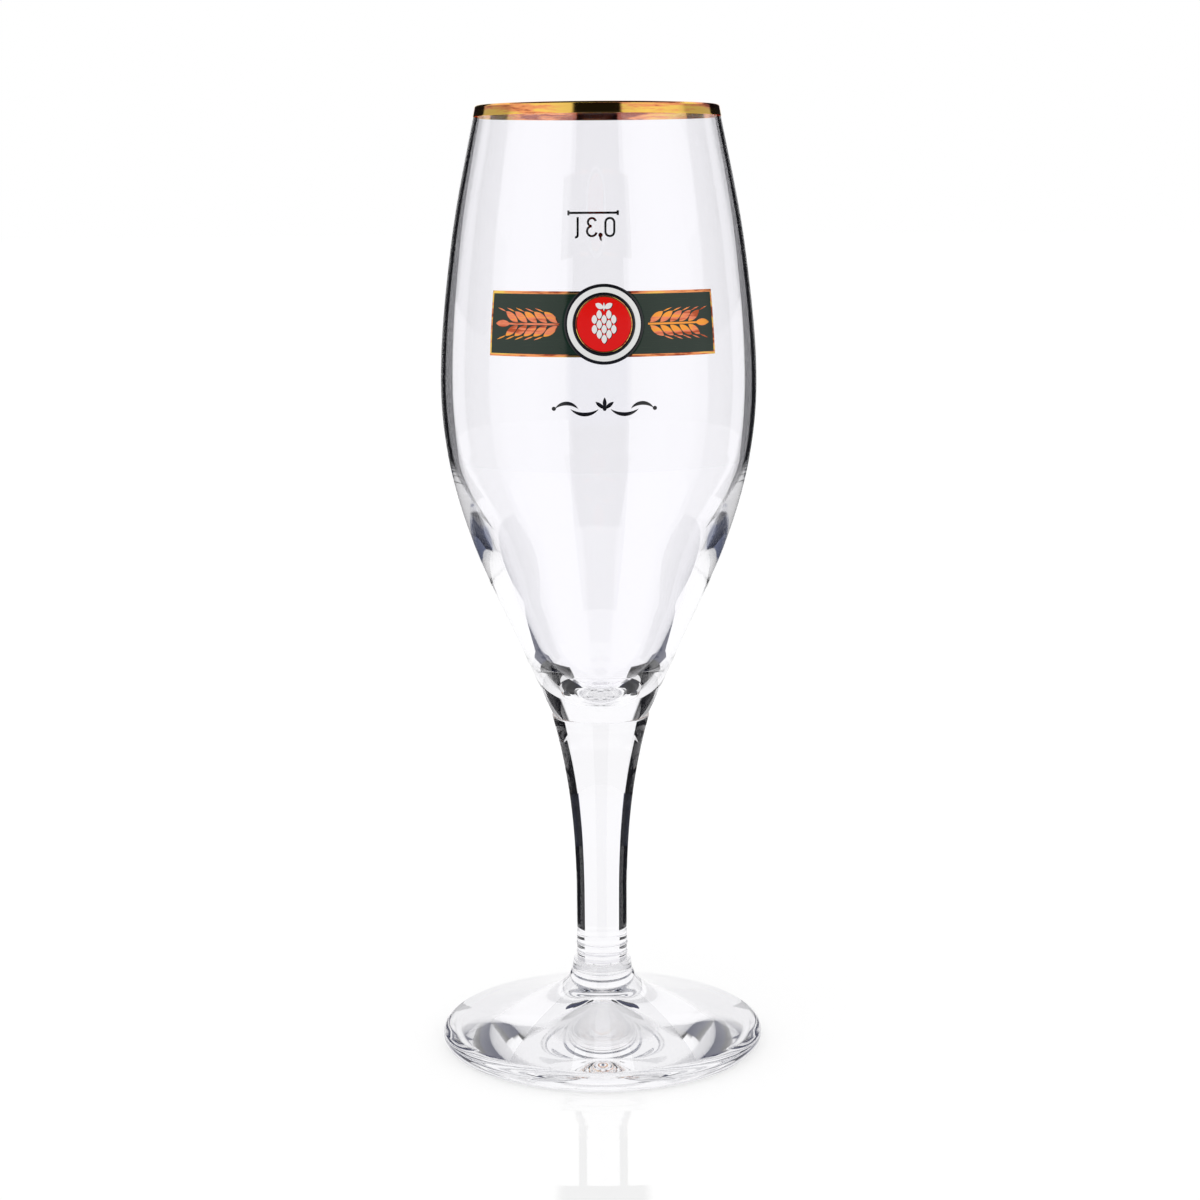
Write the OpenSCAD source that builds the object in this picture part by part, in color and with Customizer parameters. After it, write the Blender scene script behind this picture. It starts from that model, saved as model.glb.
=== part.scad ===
// Stemmed beer glass: bowl, stem and foot in clear glass, with a fired gold rim,
// an enamelled band with a medallion on the front and a fill mark on the back.
// Millimetres, +Z up, origin at the centre of the resting ring.
// The band faces -Y and the fill mark faces +Y.

/* [Bowl] */
// Height of the bowl, from its joint with the stem to the lip
bowl_height = 141.6; // [120:0.2:180]
// Outside diameter at the lip
lip_d = 55.9; // [48:0.1:64]
// Outside diameter at the shoulder, above the widest place
shoulder_d = 67.8; // [64:0.1:72]
// Outside diameter at the widest place
belly_d = 73.2; // [70:0.1:80]
// Outside diameter on the flank, where the wall turns straight
flank_d = 47.7; // [40:0.1:54]
// Outside diameter at the lower end of the bowl
bowl_end_d = 22.3; // [18:0.1:22.8]
// Wall of the upper bowl
wall = 1.05; // [0.8:0.05:2]
// Wall of the lower bowl, where the glass is thick
flank_wall = 4.4; // [2.5:0.1:5.5]
// Glass under the inside bottom, down to the joint with the stem
bottom_glass = 4.4; // [3:0.1:8]
// Diameter of the small ring in the inside bottom
bottom_ring_d = 6.4; // [4:0.1:9]
// Width of the groove of that ring
bottom_ring_w = 0.7; // [0.4:0.1:1.2]

/* [Stem] */
// Length of the stem, from the foot to the bowl
stem_length = 60; // [40:0.5:90]
// Diameter at the top of the stem, a little wider than the bowl's end
stem_top_d = 23; // [22.8:0.1:28]
// Diameter at the slimmest place
waist_d = 12.1; // [10:0.1:14]
// Height of the slimmest place above the foot
waist_height = 15.6; // [10:0.1:30]
// Diameter at the lower end
stem_end_d = 12; // [10:0.1:13]
// Height of the upper fine ring above the foot
upper_ring_height = 3.9; // [3.2:0.1:6]
// Height of the lower fine ring above the foot
lower_ring_height = 1.6; // [1:0.1:2.4]
// Thickness of a fine ring
ring_w = 0.9; // [0.5:0.05:1.2]

/* [Foot] */
// Diameter of the foot
foot_d = 77; // [66:0.1:96]
// Height of the foot, up to its joint with the stem
foot_height = 20.4; // [17:0.1:26]
// Diameter of the hub at that joint
hub_d = 13.8; // [13.2:0.1:15]
// Diameter of the hub where it runs out into the foot
hub_base_d = 19.5; // [17:0.1:24]
// Height of the hub's base above the table
hub_base_height = 13.9; // [12:0.1:16]
// Radius of the round edge, from its widest place down to the resting ring
edge_r = 2.45; // [1.8:0.05:3]
// Width of the rounding above the widest place of the edge
edge_over_w = 3.6; // [2.6:0.1:4.4]
// Height of that rounding
edge_over_h = 2.7; // [2:0.1:3.2]
// Width of the flat ring that the glass rests on
rest_w = 2; // [1:0.1:5]
// Height of the hollow under the foot, at the middle
hollow_height = 7; // [4:0.1:8.5]

/* [Gold rim] */
// Height of the gold on the outside of the lip
gold_height = 2.5; // [1.5:0.1:6]
// Thickness of every fired film
film = 0.06; // [0.04:0.01:0.12]

/* [Band] */
// Height of the band's lower edge above the middle of the flourish
band_low = 11.2; // [9:0.1:18]
// Height of the band, with its gold lines
band_height = 14.2; // [10:0.1:20]
// Angle from the middle of the band to each end, in degrees
band_half_angle = 43.2; // [36:0.1:60]
// Width of the gold lines along the band
line_w = 0.6; // [0.3:0.05:1]
// Width of the gold lines at the ends
end_line_w = 0.4; // [0.2:0.05:1]

/* [Medallion] */
// Diameter of the medallion
medallion_d = 17.4; // [15:0.1:20]
// Width of the outer black ring
outer_ring_w = 0.7; // [0.4:0.05:1]
// Width of the white ring
white_ring_w = 1.15; // [0.6:0.05:1.4]
// Width of the inner black ring
inner_ring_w = 0.7; // [0.4:0.05:1]
// Width of the gold line round the red field
field_line_w = 0.3; // [0.2:0.05:0.5]
// Length of a scale of the hop cone
scale_l = 1.95; // [1.6:0.05:2.1]
// Width of a scale of the hop cone
scale_w = 1.15; // [0.9:0.05:1.3]
// Gap between the scales
scale_gap = 0.16; // [0.1:0.02:0.24]

/* [Barley ears] */
// Length of a grain
grain_l = 3.9; // [3:0.05:4.2]
// Width of a grain
grain_w = 1.5; // [1:0.05:1.6]
// Distance from one pair of grains to the next
grain_pitch = 2.35; // [2.3:0.05:2.5]
// Number of pairs of grains in an ear
grain_pairs = 5; // [3:1:5]
// Gap between the grains and the stalk
grain_gap = 0.15; // [0.1:0.01:0.3]
// Length of a bristle
bristle_l = 2.6; // [1:0.1:3]
// Width of a bristle
bristle_w = 0.26; // [0.2:0.02:0.4]
// Width of the stalk
stalk_w = 0.4; // [0.2:0.02:0.6]
// Angle from the middle of the band to the middle of an ear, in degrees
ear_angle = 28.2; // [27.5:0.1:29]

/* [Flourish] */
// Width of the flourish below the band
flourish_w = 23; // [18:0.1:30]
// Height of the flourish's middle above the joint of bowl and stem
flourish_height = 75.5; // [70:0.1:80]
// Thickness of its strokes at their thickest
flourish_stroke = 0.85; // [0.5:0.05:1.2]

/* [Fill mark] */
// Height of the fill line above the joint of bowl and stem
fill_height = 117.2; // [112:0.1:124]
// Length of the fill line
fill_line_l = 12.8; // [8:0.1:18]
// Width of the strokes of the fill mark
fill_stroke = 0.55; // [0.3:0.05:0.65]
// Height of the numerals
numeral_height = 4.9; // [3.5:0.1:5.5]
// Gap between the line and the numerals
numeral_gap = 1; // [0.6:0.1:2]

/* [Hidden] */
$fn = 96;

// Steps of each curved stretch of an outline
curve_steps = 10;
// Steps of the round lip
lip_steps = 6;
// Steps of an arc in a drawn stroke
arc_steps = 14;
// How far a cutting shape runs past what it cuts
overrun = 1;

glass_clear = [0.84, 0.89, 0.91, 0.45];
gold = [0.83, 0.62, 0.22];
enamel_green = [0.10, 0.18, 0.12];
enamel_black = [0.04, 0.04, 0.05];
enamel_white = [0.93, 0.92, 0.89];
enamel_red = [0.80, 0.07, 0.06];
copper_gold = [0.88, 0.48, 0.20];

// Heights of the joints and of the lip
foot_top = foot_height;
seam = foot_top + stem_length;
lip_top = seam + bowl_height;

// Places along the bowl's height, as shares of it
flank_share = 0.195;
belly_share = 0.5515;
shoulder_share = 0.774;
// Height over which the wall grows from thin to thick, as shares of the bowl's height
thick_from_share = 0.435;
thick_to_share = 0.21;
// Height where the inside starts to round into the bottom, and how far its handles reach
inside_round_share = 0.125;
inside_handle_share = 0.55;
inside_floor_share = 0.42;
// Outward lean of the wall at each place, in radius gained for each unit of height
bowl_end_lean = 0.488;
flank_lean = 0.475;
shoulder_lean = -0.134;
lip_lean = -0.201;
stem_top_lean = 0.282;

// Cubic from a to b, each [height, radius, lean], at height z
function lean_curve(a, b, z) =
    let (span = b[0] - a[0], u = (z - a[0]) / span)
    (2 * pow(u, 3) - 3 * pow(u, 2) + 1) * a[1] + (pow(u, 3) - 2 * pow(u, 2) + u) * span * a[2]
    + (3 * pow(u, 2) - 2 * pow(u, 3)) * b[1] + (pow(u, 3) - pow(u, 2)) * span * b[2];

// Radius at height z on a chain of such places
function radius_at(places, z, i = 0) =
    (i + 2 >= len(places) || z <= places[i + 1][0])
        ? lean_curve(places[i], places[i + 1], z)
        : radius_at(places, z, i + 1);

// Heights along a chain, an even number of steps in each stretch
function heights_along(places) = [
    for (i = [0 : len(places) - 2], k = [0 : curve_steps - 1])
        places[i][0] + (places[i + 1][0] - places[i][0]) * k / curve_steps,
    places[len(places) - 1][0]
];

// Point on a cubic with the end points a and d and the handles b and c
function handle_curve(a, b, c, d, u) =
    pow(1 - u, 3) * a + 3 * pow(1 - u, 2) * u * b + 3 * (1 - u) * pow(u, 2) * c + pow(u, 3) * d;

// Points of an arc of an ellipse with the half axes w and h, as [x, y]
function oval_arc(centre, w, h, from, to, steps) =
    [for (k = [0 : steps]) let (a = from + (to - from) * k / steps) centre + [w * cos(a), h * sin(a)]];
// The same for a circle
function arc(centre, radius, from, to, steps) = oval_arc(centre, radius, radius, from, to, steps);

// The wall's rounding at the lip has half the wall as its radius
lip_round = wall / 2;
bowl_places = [
    [seam, bowl_end_d / 2, bowl_end_lean],
    [seam + flank_share * bowl_height, flank_d / 2, flank_lean],
    [seam + belly_share * bowl_height, belly_d / 2, 0],
    [seam + shoulder_share * bowl_height, shoulder_d / 2, shoulder_lean],
    [lip_top - lip_round, lip_d / 2, lip_lean]
];
bowl_heights = heights_along(bowl_places);

// 0 to 1, level at both ends
function ease(u) = let (v = max(0, min(1, u))) 3 * pow(v, 2) - 2 * pow(v, 3);
thick_from = seam + thick_from_share * bowl_height;
thick_to = seam + thick_to_share * bowl_height;
function wall_at(z) = wall + (flank_wall - wall) * ease((thick_from - z) / (thick_from - thick_to));
function outside_at(z) = radius_at(bowl_places, z);
function inside_at(z) = outside_at(z) - wall_at(z);

inside_round = seam + inside_round_share * bowl_height;
inside_bottom = seam + bottom_glass;
inside_depth = inside_round - inside_bottom;

// Outline of the outside, lifted by a distance
function outside_line(lift) = [for (z = bowl_heights) [outside_at(z) + lift, z]];
function lip_line(lift) = arc([lip_d / 2 - lip_round, lip_top - lip_round], lip_round + lift, 0, 180, lip_steps);
function inside_line() = [
    for (i = [len(bowl_heights) - 2 : -1 : 0]) let (z = bowl_heights[i]) if (z > inside_round) [inside_at(z), z]
];
function bottom_line() = let (r = inside_at(inside_round)) [
    for (k = [0 : curve_steps])
        handle_curve([r, inside_round], [r - flank_lean * inside_handle_share * inside_depth,
            inside_round - inside_handle_share * inside_depth],
            [r * inside_floor_share, inside_bottom], [0, inside_bottom], k / curve_steps)
];

module bowl() {
    color(glass_clear) difference() {
        rotate_extrude() polygon(concat([[0, seam]], outside_line(0), lip_line(0), inside_line(), bottom_line()));
        rotate_extrude() translate([bottom_ring_d / 2, inside_bottom]) circle(d = bottom_ring_w);
    }
}

stem_places = [
    [foot_top + waist_height, waist_d / 2, 0],
    [seam, stem_top_d / 2, stem_top_lean]
];

module fine_ring(height) {
    rotate_extrude() translate([stem_end_d / 2 - ring_w / 4, height]) circle(d = ring_w);
}

module stem() {
    color(glass_clear) union() {
        rotate_extrude() polygon(concat([[0, foot_top], [stem_end_d / 2, foot_top]],
            [for (z = heights_along(stem_places)) [radius_at(stem_places, z), z]], [[0, seam]]));
        fine_ring(foot_top + upper_ring_height);
        fine_ring(foot_top + lower_ring_height);
    }
}

// Handles of the hub and of the foot's upper side, as shares of their width and height
hub_out_shares = [0.07, 0.25];
hub_down_shares = [0.37, 0.65];
top_out_shares = [0.10, 0.48];
top_down_shares = [0.27, 0.66];
// Handles of the hollow under the foot
hollow_out_shares = [0.1, 0.17];
hollow_up_shares = [0.1, 1];
// Where the rounding over the edge starts, in degrees from level
edge_turn = 55;

module foot() {
    hub = [hub_d / 2, foot_top];
    hub_base = [hub_base_d / 2, hub_base_height];
    over_centre = [foot_d / 2 - edge_over_w, edge_r];
    edge_start = over_centre + [edge_over_w * cos(edge_turn), edge_over_h * sin(edge_turn)];
    hub_span = hub_base - hub;
    top_span = edge_start - hub_base;
    hollow_r = foot_d / 2 - edge_r - rest_w;
    color(glass_clear) rotate_extrude() polygon(concat(
        [[0, foot_top]],
        [for (k = [0 : curve_steps]) handle_curve(hub,
            hub + [hub_out_shares[0] * hub_span[0], hub_down_shares[0] * hub_span[1]],
            hub + [hub_out_shares[1] * hub_span[0], hub_down_shares[1] * hub_span[1]],
            hub_base, k / curve_steps)],
        [for (k = [1 : curve_steps]) handle_curve(hub_base,
            hub_base + [top_out_shares[0] * top_span[0], top_down_shares[0] * top_span[1]],
            hub_base + [top_out_shares[1] * top_span[0], top_down_shares[1] * top_span[1]],
            edge_start, k / curve_steps)],
        oval_arc(over_centre, edge_over_w, edge_over_h, edge_turn, 0, curve_steps),
        arc([foot_d / 2 - edge_r, edge_r], edge_r, -90 / curve_steps, -90, curve_steps - 1),
        [for (k = [0 : curve_steps]) handle_curve([hollow_r, 0],
            [hollow_r * hollow_out_shares[0], hollow_height * hollow_up_shares[0]],
            [hollow_r * hollow_out_shares[1], hollow_height * hollow_up_shares[1]],
            [0, hollow_height], k / curve_steps)]
    ));
}

// Fired gold over the lip: down the outside, round the lip and a little way inside
module gold_rim() {
    gold_low = lip_top - gold_height;
    color(gold) rotate_extrude() difference() {
        polygon(concat(outside_line(film), lip_line(film)));
        polygon(concat([[0, seam]], outside_line(0), lip_line(0)));
        translate([0, seam - overrun]) square([belly_d, gold_low - seam + overrun]);
    }
}

// Section of a film on the bowl's outside between two heights; layer 0 lies on the glass
module film_section(low, high, layer) {
    intersection() {
        polygon(concat(outside_line((layer + 1) * film),
            [for (i = [len(bowl_heights) - 1 : -1 : 0])
                let (z = bowl_heights[i]) [outside_at(z) + layer * film, z]]));
        translate([0, low]) square([belly_d, high - low]);
    }
}

// Carries a flat drawing out through the wall at an angle from the front and a height
module on_wall(angle, height) {
    rotate([0, 0, angle]) translate([0, 0, height]) rotate([90, 0, 0])
        linear_extrude(height = belly_d) children();
}

// A flat drawing as a film between two heights
module print_film(angle, height, reach, layer) {
    intersection() {
        rotate_extrude() film_section(height - reach, height + reach, layer);
        on_wall(angle, height) children();
    }
}

// Film over part of the way round, from one angle to another, counted from the front
module sector_film(low, high, from, to) {
    rotate([0, 0, from - 90]) rotate_extrude(angle = to - from) film_section(low, high, 0);
}

flourish_middle = seam + flourish_height;
band_bottom = flourish_middle + band_low;
band_top = band_bottom + band_height;
band_middle = (band_bottom + band_top) / 2;
// Angle to each end of the green, inside the gold lines at the ends
green_half_angle = band_half_angle - end_line_w / outside_at(band_middle) * 180 / PI;

module band() {
    color(enamel_green) difference() {
        sector_film(band_bottom + line_w, band_top - line_w, -green_half_angle, green_half_angle);
        on_wall(0, band_middle) circle(d = medallion_d);
    }
}

module band_lines() {
    color(gold) difference() {
        union() {
            sector_film(band_bottom, band_bottom + line_w, -green_half_angle, green_half_angle);
            sector_film(band_top - line_w, band_top, -green_half_angle, green_half_angle);
            sector_film(band_bottom, band_top, -band_half_angle, -green_half_angle);
            sector_film(band_bottom, band_top, green_half_angle, band_half_angle);
        }
        on_wall(0, band_middle) circle(d = medallion_d);
    }
}

module ring(outer_r, width) {
    difference() {
        circle(r = outer_r);
        circle(r = outer_r - width);
    }
}

medallion_r = medallion_d / 2;
white_ring_r = medallion_r - outer_ring_w;
inner_ring_r = white_ring_r - white_ring_w;
field_line_r = inner_ring_r - inner_ring_w;
field_r = field_line_r - field_line_w;

module medallion_rings() {
    color(enamel_black) print_film(0, band_middle, medallion_d, 0) {
        union() {
            ring(medallion_r, outer_ring_w);
            ring(inner_ring_r, inner_ring_w);
        }
    }
}

module medallion_white_ring() {
    color(enamel_white) print_film(0, band_middle, medallion_d, 0) ring(white_ring_r, white_ring_w);
}

module medallion_line() {
    color(gold) print_film(0, band_middle, medallion_d, 0) ring(field_line_r, field_line_w);
}

module medallion_field() {
    color(enamel_red) print_film(0, band_middle, medallion_d, 0) circle(r = field_r);
}

// Pointed leaf shape of two arcs, upright, about its middle
module leaf(length, width) {
    arc_r = (pow(length, 2) + pow(width, 2)) / (4 * width);
    intersection() {
        translate([arc_r - width / 2, 0]) circle(r = arc_r);
        translate([width / 2 - arc_r, 0]) circle(r = arc_r);
    }
}

// Half the width of such a leaf at a distance from its middle
function leaf_half(length, width, distance) =
    let (arc_r = (pow(length, 2) + pow(width, 2)) / (4 * width))
    sqrt(pow(arc_r, 2) - pow(distance, 2)) - arc_r + width / 2;

// Scales in each row of the hop cone, from the tip up
cone_rows = [1, 2, 3, 2, 3, 2];
row_pitch = (scale_l + scale_gap) / 2;
scale_pitch = 4 * leaf_half(scale_l, scale_w, row_pitch / 2) + 2 * scale_gap;
// Turn of the two leaves over the cone
cone_leaf_turn = 58;

module hop_cone_drawing() {
    rows = len(cone_rows);
    drop = rows / 2 * row_pitch;
    stalk_height = rows * row_pitch - drop;
    for (row = [0 : rows - 1], k = [0 : cone_rows[row] - 1])
        translate([(k - (cone_rows[row] - 1) / 2) * scale_pitch, row * row_pitch - drop])
            leaf(scale_l, scale_w);
    for (side = [-1, 1])
        translate([0, stalk_height + scale_gap]) rotate(-side * cone_leaf_turn)
            translate([0, scale_w]) leaf(scale_l, scale_w);
    translate([0, stalk_height + scale_w / 2]) leaf(scale_l, scale_w / 3);
}

module hop_cone() {
    color(enamel_white) print_film(0, band_middle, field_r, 1) hop_cone_drawing();
}

// Turn of the grains and of the bristles from the ear's line, in degrees
grain_turn = 36;
bristle_turn = 20;
// Share of a bristle that lies over its grain's tip
bristle_over_share = 0.06;

// A grain and its bristle, the grain's inner tip at the origin, along +x
module grain() {
    translate([grain_l / 2, 0]) rotate(-90) leaf(grain_l, grain_w);
    translate([grain_l, 0]) rotate(bristle_turn - grain_turn)
        translate([bristle_l * (1 / 2 - bristle_over_share), 0]) rotate(-90) leaf(bristle_l, bristle_w);
}

// Ear lying along +x, from the stalk's foot to the tip
module ear_drawing() {
    ear_l = grain_pairs * grain_pitch + grain_l;
    for (i = [0 : grain_pairs - 1]) {
        start = i * grain_pitch + stalk_w - ear_l / 2;
        translate([start, stalk_w / 2 + grain_gap]) rotate(grain_turn) grain();
        mirror([0, 1]) translate([start, stalk_w / 2 + grain_gap]) rotate(grain_turn) grain();
    }
    translate([ear_l / 2 - grain_l / 2, 0]) rotate(-90) leaf(grain_l, grain_w);
    translate([-ear_l / 2, -stalk_w / 2]) square([ear_l - grain_l + stalk_w, stalk_w]);
}

module barley_ear(side) {
    color(copper_gold) print_film(side * ear_angle, band_middle, band_height / 2 - line_w, 1)
        mirror([side < 0 ? 1 : 0, 0]) ear_drawing();
}

module barley_ear_left() {
    barley_ear(-1);
}

module barley_ear_right() {
    barley_ear(1);
}

// Crescent with its tips on the x axis, bulging up
module crescent(width, rise, thickness) {
    outer_r = (pow(width / 2, 2) + pow(rise, 2)) / (2 * rise);
    inner_rise = rise - thickness;
    inner_r = (pow(width / 2, 2) + pow(inner_rise, 2)) / (2 * inner_rise);
    difference() {
        translate([0, rise - outer_r]) circle(r = outer_r);
        translate([0, inner_rise - inner_r]) circle(r = inner_r);
    }
}

// Shares of the flourish's width: the leaves in the middle, the inner and outer strokes,
// their rise, the place where the outer stroke starts along the inner one, and the end dots
flourish_leaf_share = 0.11;
flourish_inner_share = 0.27;
flourish_outer_share = 0.22;
flourish_rise_share = 0.07;
flourish_start_share = 0.72;
flourish_dot_share = 0.04;
// Turn of the two side leaves of the middle
flourish_leaf_turn = 52;

module flourish_drawing() {
    inner_w = flourish_inner_share * flourish_w;
    outer_w = flourish_outer_share * flourish_w;
    rise = flourish_rise_share * flourish_w;
    dot = flourish_dot_share * flourish_w;
    leaf_l = flourish_leaf_share * flourish_w;
    start = leaf_l / 2;
    for (turn = [-flourish_leaf_turn, 0, flourish_leaf_turn])
        rotate(turn) translate([0, leaf_l / 2]) leaf(leaf_l, flourish_stroke);
    circle(d = flourish_stroke);
    for (side = [0, 1]) mirror([side, 0]) {
        translate([start + inner_w / 2, 0]) mirror([0, 1]) crescent(inner_w, rise, flourish_stroke);
        translate([start + inner_w * flourish_start_share + outer_w / 2, 0])
            crescent(outer_w, rise, flourish_stroke);
        translate([flourish_w / 2 - dot / 2, 0]) circle(d = dot);
    }
}

module flourish() {
    color(enamel_black) print_film(0, flourish_middle, flourish_w / 2, 0) flourish_drawing();
}

fill_z = seam + fill_height;
// Length of the ticks at the ends of the fill line, in strokes
tick_strokes = 2.1;

module fill_line() {
    tick = tick_strokes * fill_stroke;
    color(enamel_black) print_film(180, fill_z, tick, 0) {
        union() {
            translate([-fill_line_l / 2, -fill_stroke / 2]) square([fill_line_l, fill_stroke]);
            for (side = [-1, 1])
                translate([side * (fill_line_l - fill_stroke) / 2 - fill_stroke / 2, -tick / 2])
                    square([fill_stroke, tick]);
        }
    }
}

// Line of one width through points, with square ends
function along(points, i) =
    let (a = points[max(0, i - 1)], b = points[min(len(points) - 1, i + 1)]) (b - a) / norm(b - a);
module stroke(points, width) {
    left = [for (i = [0 : len(points) - 1]) let (t = along(points, i)) points[i] + width / 2 * [-t[1], t[0]]];
    right = [for (i = [len(points) - 1 : -1 : 0]) let (t = along(points, i)) points[i] - width / 2 * [-t[1], t[0]]];
    polygon(concat(left, right));
}

// Shares of the numerals' height: widths and rounds of the signs, and their places from the middle
zero_w_share = 0.56;
three_upper_share = 0.2;
zero_place_share = -0.85;
comma_place_share = -0.38;
three_place_share = 0.06;
litre_place_share = 0.78;
comma_drop_share = 0.16;
comma_turn = 18;
hook_share = 0.12;

module zero_sign(h) {
    w = zero_w_share * h;
    difference() {
        union() {
            for (side = [-1, 1]) translate([0, side * (h - w) / 2]) circle(d = w);
            square([w, h - w], center = true);
        }
        union() {
            for (side = [-1, 1]) translate([0, side * (h - w) / 2]) circle(d = w - 2 * fill_stroke);
            square([w - 2 * fill_stroke, h - w], center = true);
        }
    }
}

module three_sign(h) {
    upper_r = three_upper_share * h;
    lower_r = h / 2 - fill_stroke / 2 - upper_r;
    stroke(arc([0, h / 2 - upper_r - fill_stroke / 2], upper_r, 165, -90, arc_steps), fill_stroke);
    stroke(arc([0, lower_r + fill_stroke / 2 - h / 2], lower_r, 90, -165, arc_steps), fill_stroke);
}

module comma_sign(h) {
    drop = comma_drop_share * h;
    circle(r = fill_stroke);
    translate([0, -drop]) rotate(-comma_turn) leaf(2 * drop, fill_stroke);
}

// Upright stroke with a hook at its foot
module litre_sign(h) {
    hook_r = hook_share * h;
    top = [0, h / 2];
    stroke(concat([top], arc([hook_r, hook_r - h / 2], hook_r, 180, 280, arc_steps)), fill_stroke);
}

module fill_numerals() {
    h = numeral_height;
    middle = fill_z - numeral_gap - h / 2;
    color(enamel_black) print_film(180, middle, h, 0) {
        union() {
            translate([zero_place_share * h, 0]) zero_sign(h);
            translate([comma_place_share * h, fill_stroke - h / 2]) comma_sign(h);
            translate([three_place_share * h, 0]) three_sign(h);
            translate([litre_place_share * h, 0]) litre_sign(h);
        }
    }
}

bowl();
stem();
foot();
gold_rim();
band();
band_lines();
medallion_rings();
medallion_white_ring();
medallion_field();
medallion_line();
hop_cone();
barley_ear_left();
barley_ear_right();
flourish();
fill_line();
fill_numerals();
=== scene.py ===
"""Looks of a stemmed beer glass, built round its CAD frame.

Every piece is a surface over a grid of two parameters, worked out with numpy in metres and in the
frame of the CAD model: +Z up, the enamelled band on -Y, the fill mark on +Y. The glass itself is
three closed solids of revolution, and every print is a thin closed film that follows the wall.
"""

import logging
import math
from collections.abc import Sequence
from dataclasses import dataclass
from enum import Enum

import bmesh
import bpy
import numpy as np
from mathutils import Matrix, Vector


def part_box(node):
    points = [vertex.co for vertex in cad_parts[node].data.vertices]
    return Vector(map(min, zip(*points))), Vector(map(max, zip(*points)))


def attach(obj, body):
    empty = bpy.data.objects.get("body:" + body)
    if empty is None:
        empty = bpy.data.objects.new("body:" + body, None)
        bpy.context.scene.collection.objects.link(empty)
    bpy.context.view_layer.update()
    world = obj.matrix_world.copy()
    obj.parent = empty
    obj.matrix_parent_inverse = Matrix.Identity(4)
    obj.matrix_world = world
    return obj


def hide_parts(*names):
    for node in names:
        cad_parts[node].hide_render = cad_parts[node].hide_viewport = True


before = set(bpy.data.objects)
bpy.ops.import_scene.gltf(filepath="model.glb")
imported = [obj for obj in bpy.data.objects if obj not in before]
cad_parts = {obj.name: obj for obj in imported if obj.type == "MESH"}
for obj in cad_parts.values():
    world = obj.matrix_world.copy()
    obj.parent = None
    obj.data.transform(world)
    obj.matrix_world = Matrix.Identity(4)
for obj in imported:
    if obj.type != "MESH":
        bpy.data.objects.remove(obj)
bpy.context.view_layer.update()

MM = 0.001
MERGE_DISTANCE = 1e-4 * MM
LOG = logging.getLogger("beer_glass")

Array = np.ndarray
Material = bpy.types.Material
Object = bpy.types.Object
Pair = tuple[float, float]
Colour = tuple[float, float, float]
Drawing = tuple[Array, Array]
Stop = tuple[float, Colour]


class Slot(Enum):
    """Material slots of the record."""

    CLEAR_GLASS = "clear_glass"
    GOLD = "gold"
    COPPER_GOLD = "copper_gold"
    GREEN_ENAMEL = "green_enamel"
    BLACK_ENAMEL = "black_enamel"
    WHITE_ENAMEL = "white_enamel"
    RED_ENAMEL = "red_enamel"


class Side(Enum):
    """Which way a print or a screen lies from the middle of the front."""

    LEFT = -1
    RIGHT = 1


# Surfaces


@dataclass(frozen=True)
class Place:
    """A place on an outline.

    Args:
        height: Height of the place.
        radius: Radius there.
        lean: Radius gained for each unit of height.
    """

    height: float
    radius: float
    lean: float


def radius_along(places: Sequence[Place], z: Array) -> Array:
    """Radius on a chain of cubics.

    Between two places, with u from 0 to 1 and h the height between them, the radius is
    (2u^3 - 3u^2 + 1) r0 + (u^3 - 2u^2 + u) h m0 + (3u^2 - 2u^3) r1 + (u^3 - u^2) h m1.

    Args:
        places: The places, from the lowest up.
        z: Heights.

    Returns:
        The radius at each height.
    """
    height, radius, lean = np.array([(p.height, p.radius, p.lean) for p in places]).T
    i = np.clip(np.searchsorted(height, z) - 1, 0, len(places) - 2)
    span = height[i + 1] - height[i]
    u = (z - height[i]) / span
    return ((2 * u**3 - 3 * u**2 + 1) * radius[i] + (u**3 - 2 * u**2 + u) * span * lean[i]
            + (3 * u**2 - 2 * u**3) * radius[i + 1] + (u**3 - u**2) * span * lean[i + 1])


def bezier(ends: Sequence[Sequence[float]], count: int) -> Array:
    """Points on a cubic, each (1-t)^3 a + 3 (1-t)^2 t b + 3 (1-t) t^2 c + t^3 d.

    Args:
        ends: Start a, handles b and c, end d.
        count: Number of points.

    Returns:
        The points, as rows.
    """
    a, b, c, d = np.array(ends, float)
    t = np.linspace(0, 1, count)[:, None]
    return (1 - t)**3 * a + 3 * (1 - t)**2 * t * b + 3 * (1 - t) * t**2 * c + t**3 * d


def arc(centre: Sequence[float], radius: float, start: float, end: float, count: int) -> Array:
    """Points of an arc, centre + radius (cos a, sin a), with the angles in degrees."""
    a = np.radians(np.linspace(start, end, count))
    return np.array(centre) + radius * np.column_stack((np.cos(a), np.sin(a)))


def line(start: Sequence[float], end: Sequence[float], count: int) -> Array:
    """Points that divide a straight line evenly, both ends included."""
    return np.linspace(np.array(start, float), np.array(end, float), count)


def grid_quads(rows: int, columns: int, close: bool = False) -> Array:
    """Quads between neighbouring points of a grid.

    Args:
        rows: Number of rows.
        columns: Number of points in a row.
        close: Whether each row is a closed ring.

    Returns:
        Four point numbers for each quad.
    """
    r = np.arange(rows - 1)[:, None]
    c = np.arange(columns if close else columns - 1)[None, :]
    n = (c + 1) % columns
    corners = (r * columns + c, r * columns + n, (r + 1) * columns + n, (r + 1) * columns + c)
    return np.stack(corners, -1).reshape(-1, 4)


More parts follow.
